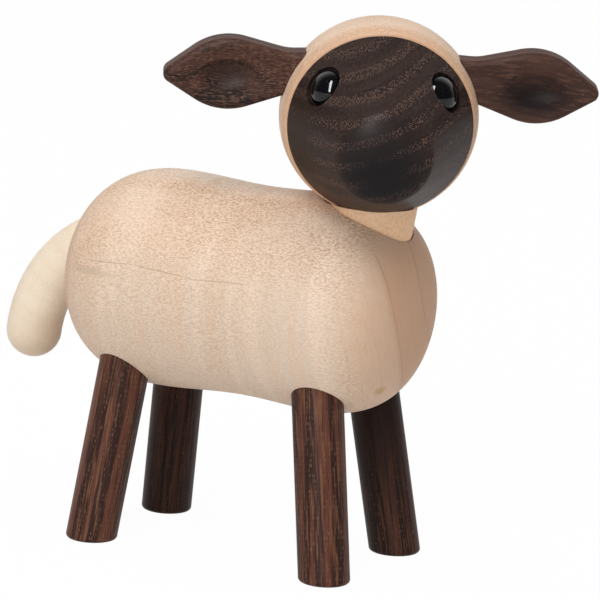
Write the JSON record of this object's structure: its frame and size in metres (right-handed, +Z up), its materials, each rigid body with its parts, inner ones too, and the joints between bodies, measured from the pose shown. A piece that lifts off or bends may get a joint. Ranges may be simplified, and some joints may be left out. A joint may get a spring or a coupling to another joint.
{
  "type": "wooden sheep figurine",
  "caption": "Standing wooden sheep ornament: pale turned body and ball head, dark dowel legs, leaf ears and cone face; the head turns on a tapered neck peg.",
  "frame": {"origin": "on the floor under the feet, at the middle of the box that the figure stands in with its head as pictured", "axes": "+X forward along the body towards the chest, +Y to the sheep's left, +Z up"},
  "size_m": [0.1168, 0.0496, 0.1075],
  "materials": {
    "pale_wood": "fine-sanded pale wood with ray flecks, thin oil, matte",
    "tail_wood": "cream bent wood, fine-sanded, matte",
    "dowel_wood": "plain pale dowel, unfinished, hidden",
    "leg_wood": "dark striped open-pored wood, oiled, satin",
    "neck_wood": "warm pale wood, fine-sanded, matte",
    "head_wood": "warm pale wood, fine-sanded, matte",
    "face_wood": "very dark ring-porous wood, oiled, satin",
    "ear_wood": "reddish dark open-pored wood, oiled, satin",
    "eye_bead": "polished black bead"
  },
  "bodies": {
    "torso": {"body": "pale_wood", "tail": "tail_wood", "tail_dowel": "dowel_wood", "leg_rear_left": "leg_wood", "leg_rear_right": "leg_wood", "leg_front_left": "leg_wood", "leg_front_right": "leg_wood"},
    "head": {"neck": "neck_wood", "neck_dowel": "dowel_wood", "head": "head_wood", "face": "face_wood", "face_dowel": "dowel_wood", "ear_left": "ear_wood", "ear_right": "ear_wood", "eye_left": "eye_bead", "eye_right": "eye_bead"}
  },
  "joints": [
    {"name": "neck_turn", "type": "hinge", "parent": "torso", "child": "head", "pos_m": [0.02119, 0.00302, 0.0714], "axis": [0, 0, 1], "range_deg": [-35, 155]}
  ]
}
